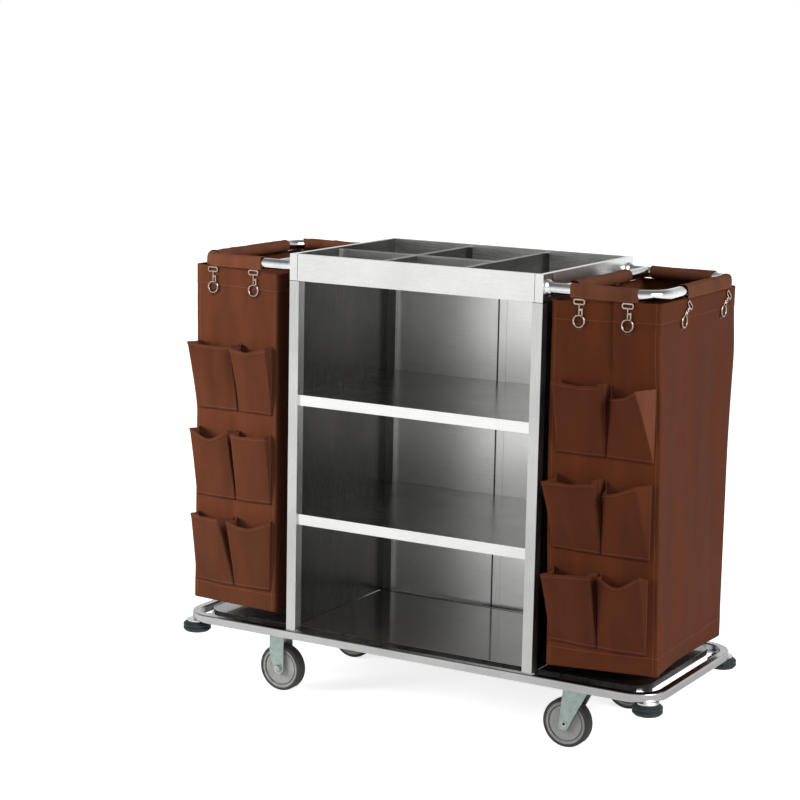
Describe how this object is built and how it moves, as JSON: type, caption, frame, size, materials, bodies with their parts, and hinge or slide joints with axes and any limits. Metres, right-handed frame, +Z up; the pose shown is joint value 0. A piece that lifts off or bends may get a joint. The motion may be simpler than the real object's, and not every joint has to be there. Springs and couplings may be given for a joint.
{
  "type": "housekeeping cart",
  "caption": "Wheeled stainless housekeeping cart: open shelved cabinet with a divided top tray, and a hanging cloth bag with pockets on a tube frame at each end.",
  "frame": {"origin": "on the floor under the middle of the cart's overall box", "axes": "+X along the cart towards the swivel casters, the open front faces -Y, +Z up"},
  "size_m": [1.274, 0.5103, 1.077],
  "materials": {
    "stainless": "satin stainless sheet and tube",
    "laminate": "dark glossy laminate on board",
    "chrome": "polished chrome tube",
    "bag_cloth": "brown coated cloth with sewn hems",
    "nickel": "nickel-plated wire",
    "zinc": "zinc-plated pressed steel",
    "wheel_core": "grey moulded plastic",
    "tyre_rubber": "grey-black soft rubber",
    "bumper_rubber": "dark moulded rubber"
  },
  "bodies": {
    "root": {"base_frame": "stainless", "cross_rails": "stainless", "deck_trim": "stainless", "deck_straps": "stainless", "side_panel_left": "stainless", "side_panel_right": "stainless", "back_panel_left": "stainless", "back_panel_right": "stainless", "back_seam_strip": "stainless", "shelf_upper": "stainless", "shelf_lower": "stainless", "tray_body": "stainless", "tray_corner_caps": "stainless", "divider_cross_left": "stainless", "divider_cross_right": "stainless", "divider_long": "stainless", "post_front_left": "stainless", "post_front_right": "stainless", "post_rear_left": "stainless", "post_rear_right": "stainless", "deck_board": "laminate", "bag_frame_left": "chrome", "bag_frame_right": "chrome", "frame_collars": "chrome", "bumper_pins": "chrome", "bag_left": "bag_cloth", "bag_right": "bag_cloth", "pockets_left": "bag_cloth", "pockets_right": "bag_cloth", "sleeves_left": "bag_cloth", "sleeves_right": "bag_cloth", "bag_eyelets": "nickel", "hooks_upright": "nickel", "hooks_leaning": "nickel", "caster_front_left_fork": "zinc", "caster_front_left_axle": "zinc", "caster_front_right_plate": "zinc", "caster_rear_left_fork": "zinc", "caster_rear_left_axle": "zinc", "caster_rear_right_plate": "zinc", "caster_bolts": "zinc"},
    "caster_front_left_wheel": {"caster_front_left_core": "wheel_core", "caster_front_left_tyre": "tyre_rubber"},
    "bumper_front_left_roller": {"bumper_front_left": "bumper_rubber"},
    "caster_front_right_wheel": {"caster_front_right_core": "wheel_core", "caster_front_right_tyre": "tyre_rubber"},
    "caster_front_right_swivel": {"caster_front_right_fork": "zinc", "caster_front_right_axle": "zinc"},
    "bumper_front_right_roller": {"bumper_front_right": "bumper_rubber"},
    "caster_rear_left_wheel": {"caster_rear_left_core": "wheel_core", "caster_rear_left_tyre": "tyre_rubber"},
    "bumper_rear_left_roller": {"bumper_rear_left": "bumper_rubber"},
    "caster_rear_right_wheel": {"caster_rear_right_core": "wheel_core", "caster_rear_right_tyre": "tyre_rubber"},
    "caster_rear_right_swivel": {"caster_rear_right_fork": "zinc", "caster_rear_right_axle": "zinc"},
    "bumper_rear_right_roller": {"bumper_rear_right": "bumper_rubber"},
    "upright_bolts": {"snap_bolts_upright": "nickel"},
    "leaning_bolts": {"snap_bolts_leaning": "nickel"}
  },
  "joints": [
    {"name": "caster_front_left_spin", "type": "hinge", "parent": "root", "child": "caster_front_left_wheel", "pos_m": [-0.381, -0.16181, 0.057], "axis": [0, 1, 0], "continuous": true},
    {"name": "bumper_front_left_roll", "type": "hinge", "parent": "root", "child": "bumper_front_left_roller", "pos_m": [-0.60296, -0.20877, 0.138], "axis": [0, 0, 1], "continuous": true},
    {"name": "caster_front_right_turn", "type": "hinge", "parent": "root", "child": "caster_front_right_swivel", "pos_m": [0.415, -0.16181, 0.12], "axis": [0, 0, 1], "continuous": true},
    {"name": "caster_front_right_spin", "type": "hinge", "parent": "caster_front_right_swivel", "child": "caster_front_right_wheel", "pos_m": [0.389, -0.16181, 0.057], "axis": [0, 1, 0], "continuous": true},
    {"name": "bumper_front_right_roll", "type": "hinge", "parent": "root", "child": "bumper_front_right_roller", "pos_m": [0.60296, -0.20877, 0.138], "axis": [0, 0, 1], "continuous": true},
    {"name": "caster_rear_left_spin", "type": "hinge", "parent": "root", "child": "caster_rear_left_wheel", "pos_m": [-0.381, 0.17419, 0.057], "axis": [0, 1, 0], "continuous": true},
    {"name": "bumper_rear_left_roll", "type": "hinge", "parent": "root", "child": "bumper_rear_left_roller", "pos_m": [-0.60296, 0.22116, 0.138], "axis": [0, 0, 1], "continuous": true},
    {"name": "caster_rear_right_turn", "type": "hinge", "parent": "root", "child": "caster_rear_right_swivel", "pos_m": [0.415, 0.17419, 0.12], "axis": [0, 0, 1], "continuous": true},
    {"name": "caster_rear_right_spin", "type": "hinge", "parent": "caster_rear_right_swivel", "child": "caster_rear_right_wheel", "pos_m": [0.389, 0.17419, 0.057], "axis": [0, 1, 0], "continuous": true},
    {"name": "bumper_rear_right_roll", "type": "hinge", "parent": "root", "child": "bumper_rear_right_roller", "pos_m": [0.60296, 0.22116, 0.138], "axis": [0, 0, 1], "continuous": true},
    {"name": "upright_bolts_slide", "type": "slide", "parent": "root", "child": "upright_bolts", "axis": [0, 0, 1], "range_m": [0, 0.007], "stiffness_N_per_m": 300, "springref_m": -0.004},
    {"name": "leaning_bolts_slide", "type": "slide", "parent": "root", "child": "leaning_bolts", "axis": [0, 0.6157, 0.788], "range_m": [0, 0.007], "stiffness_N_per_m": 300, "springref_m": -0.004}
  ]
}
